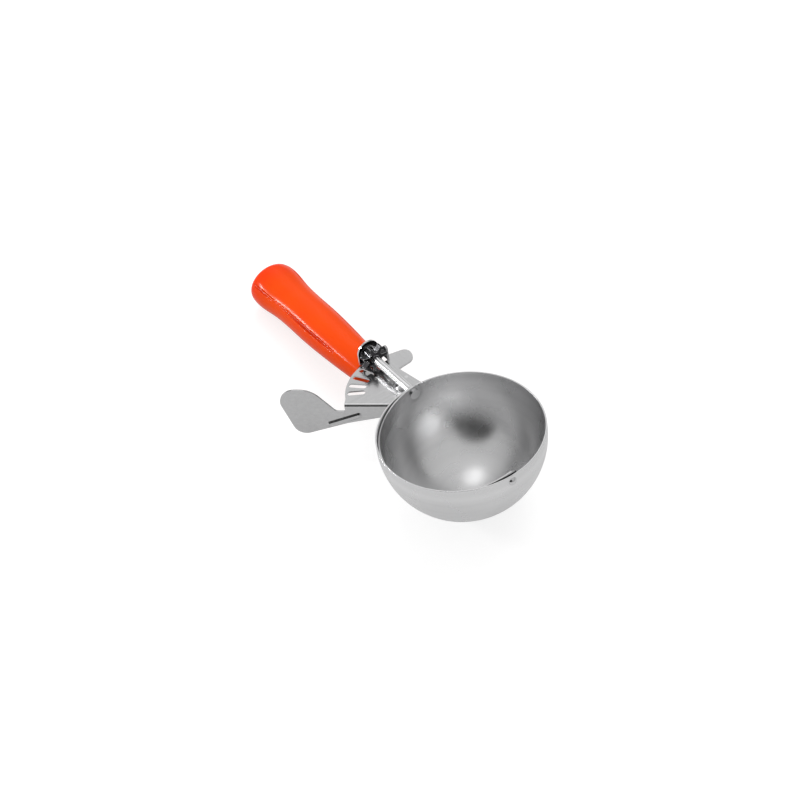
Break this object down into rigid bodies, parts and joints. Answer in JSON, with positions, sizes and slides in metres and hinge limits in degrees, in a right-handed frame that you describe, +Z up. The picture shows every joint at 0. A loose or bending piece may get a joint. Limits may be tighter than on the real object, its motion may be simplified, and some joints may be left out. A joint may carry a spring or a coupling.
{
  "type": "lever ice cream scoop",
  "caption": "Round-bowl ice cream scoop whose side thumb lever turns a pinion, shaft and curved scraper blade inside the bowl",
  "frame": {"origin": "centre of the bounding box's footprint, on the table", "axes": "+Z up, +X from the handle's butt to the bowl's front, +Y to the finger rest's side; the thumb lever is on -Y. The scoop lies on its bowl and on the butt of its handle, so the shaft rises 5.6 degrees towards +X."},
  "size_m": [0.245, 0.1054, 0.0569],
  "materials": {
    "bowl": "polished stainless steel",
    "bowl_bracket": "stamped stainless steel",
    "bowl_bush": "turned stainless steel",
    "front_pivot_pin": "polished stainless steel",
    "front_pin_washer": "stainless steel",
    "scraper_blade": "rolled stainless steel",
    "scraper_shaft": "polished stainless steel",
    "pinion_gear": "milled stainless steel",
    "pinion_pin": "stainless steel",
    "thrust_washer": "stainless steel",
    "shaft_clip": "spring steel",
    "frame_plate": "stamped stainless steel",
    "front_plate": "blackened stamped steel with bright edges",
    "handle_tang": "flat steel bar",
    "handle_grip": "moulded glossy orange plastic",
    "thumb_lever": "polished stamped stainless steel",
    "pivot_rivet": "stainless steel",
    "lever_washer": "stainless steel",
    "spring_washer": "stainless steel",
    "return_spring": "spring wire",
    "spring_post": "stainless steel",
    "lever_stop_pins": "stainless steel"
  },
  "bodies": {
    "scoop": {"bowl": "bowl", "bowl_bracket": "bowl_bracket", "bowl_bush": "bowl_bush", "front_pivot_pin": "front_pivot_pin", "front_pin_washer": "front_pin_washer", "frame_plate": "frame_plate", "front_plate": "front_plate", "handle_tang": "handle_tang", "handle_grip": "handle_grip", "pivot_rivet": "pivot_rivet", "lever_washer": "lever_washer", "spring_washer": "spring_washer", "return_spring": "return_spring", "spring_post": "spring_post", "lever_stop_pins": "lever_stop_pins"},
    "lever": {"thumb_lever": "thumb_lever"},
    "scraper": {"scraper_blade": "scraper_blade", "scraper_shaft": "scraper_shaft", "pinion_gear": "pinion_gear", "pinion_pin": "pinion_pin", "thrust_washer": "thrust_washer", "shaft_clip": "shaft_clip"}
  },
  "joints": [
    {"name": "lever_pivot", "type": "hinge", "parent": "scoop", "child": "lever", "pos_m": [0.01643, 0.00574, 0.03474], "axis": [0.0982, 0, -0.9952], "range_deg": [0, 41.25], "stiffness_Nm_per_rad": 0.33, "springref_deg": -31.51, "deforming": ["return_spring"]},
    {"name": "scraper_spin", "type": "hinge", "parent": "scoop", "child": "scraper", "pos_m": [0.0742, 0.00574, 0.04702], "axis": [0.9952, 0, 0.0982], "range_deg": [0, 165]}
  ],
  "couplings": [
    {"joint": "scraper_spin", "follows": "lever_pivot", "ratio": 4}
  ]
}
